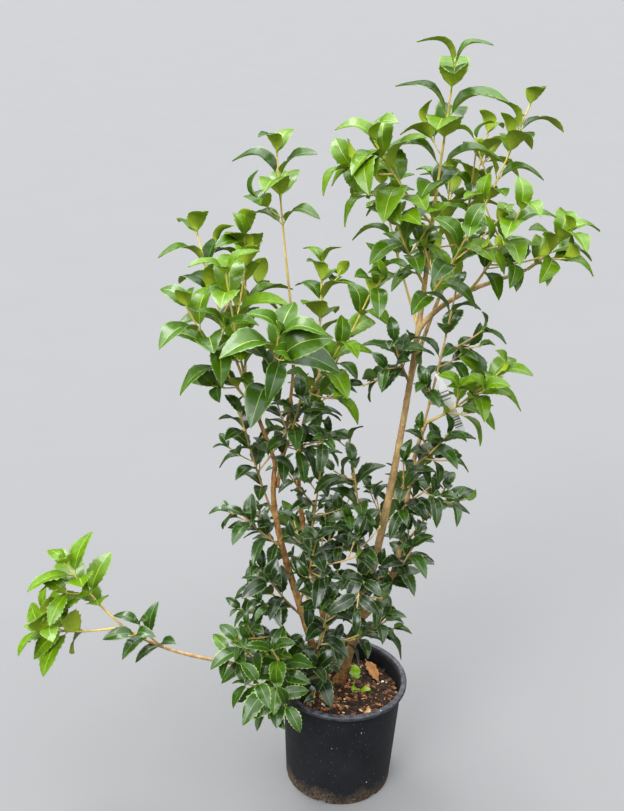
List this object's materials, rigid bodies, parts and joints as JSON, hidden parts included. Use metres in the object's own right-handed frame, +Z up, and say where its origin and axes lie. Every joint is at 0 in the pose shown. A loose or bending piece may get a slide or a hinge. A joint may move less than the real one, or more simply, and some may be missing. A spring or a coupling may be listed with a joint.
{
  "type": "potted holly olive",
  "caption": "Evergreen shrub with leaning stems and glossy spiny leaves in opposite pairs, standing in a round black nursery pot of compost.",
  "frame": {"origin": "middle of the pot's flat underside", "axes": "+Z up, the picture looks along +Y, and +X is to its right"},
  "size_m": [0.9325, 0.461, 1.4014],
  "materials": {
    "pot_plastic": "black moulded nursery pot with a soft sheen, dust specks and a dirt ring at its foot",
    "compost": "dark damp compost with bark chips",
    "bark": "smooth tan bark with fine lengthwise cracks, paler on young stems",
    "young_leaves": "glossy fresh green leaves with pale veins and spiny edges",
    "old_leaves": "glossy dark green leaves with pale veins and spiny edges",
    "label": "plain white plastic strip, blank"
  },
  "bodies": {
    "root": {"pot": "pot_plastic", "compost": "compost", "right_trunk": "bark", "left_trunk": "bark", "back_stem": "bark", "right_second_stem": "bark", "right_outer_bough": "bark", "right_back_bough": "bark", "left_outer_bough": "bark", "left_inner_bough": "bark", "low_runner": "bark", "label": "label", "leader_top": "young_leaves", "high_left_fan": "young_leaves", "thin_left_shoot": "young_leaves", "crown_left_shoot": "young_leaves", "crown_front_shoot": "young_leaves", "crown_back_shoot": "young_leaves", "trunk_left_leaves": "old_leaves", "right_foot_shoot": "old_leaves", "middle_back_shoot": "old_leaves", "middle_up_shoot": "old_leaves", "middle_front_shoot": "old_leaves", "middle_dense_shoot": "old_leaves", "rosette_front": "old_leaves", "left_side_spray": "old_leaves", "left_waist_shoot": "old_leaves", "foot_left_shoot": "old_leaves", "foot_lower_left": "old_leaves", "soil_rosette": "old_leaves", "middle_core_shoot": "old_leaves", "centre_thin_shoot": "old_leaves", "centre_right_shoot": "young_leaves", "centre_reach_shoot": "young_leaves", "left_heart_back": "old_leaves", "back_low_shoot": "old_leaves", "low_bright_shoot": "young_leaves", "inner_top_shoot": "old_leaves", "mid_right_shoot": "old_leaves", "mid_front_shoot": "old_leaves", "right_side_shoot": "old_leaves", "right_low_shoot": "old_leaves", "outer_tip": "young_leaves", "outer_front_shoot": "young_leaves", "high_right_shoot": "young_leaves", "high_back_shoot": "young_leaves", "left_top_shoot": "young_leaves", "left_middle_top": "young_leaves", "left_front_fan": "young_leaves", "left_outer_spray": "young_leaves", "left_upper_spray": "young_leaves", "tall_left_leader": "young_leaves", "centre_low_shoot": "young_leaves", "left_heart_front": "old_leaves", "rim_left_spray": "young_leaves", "rim_front_spray": "young_leaves", "rim_hanging_spray": "young_leaves", "runner_leaves": "old_leaves", "runner_upper_tip": "young_leaves", "runner_lower_tip": "young_leaves"}
  },
  "joints": []
}
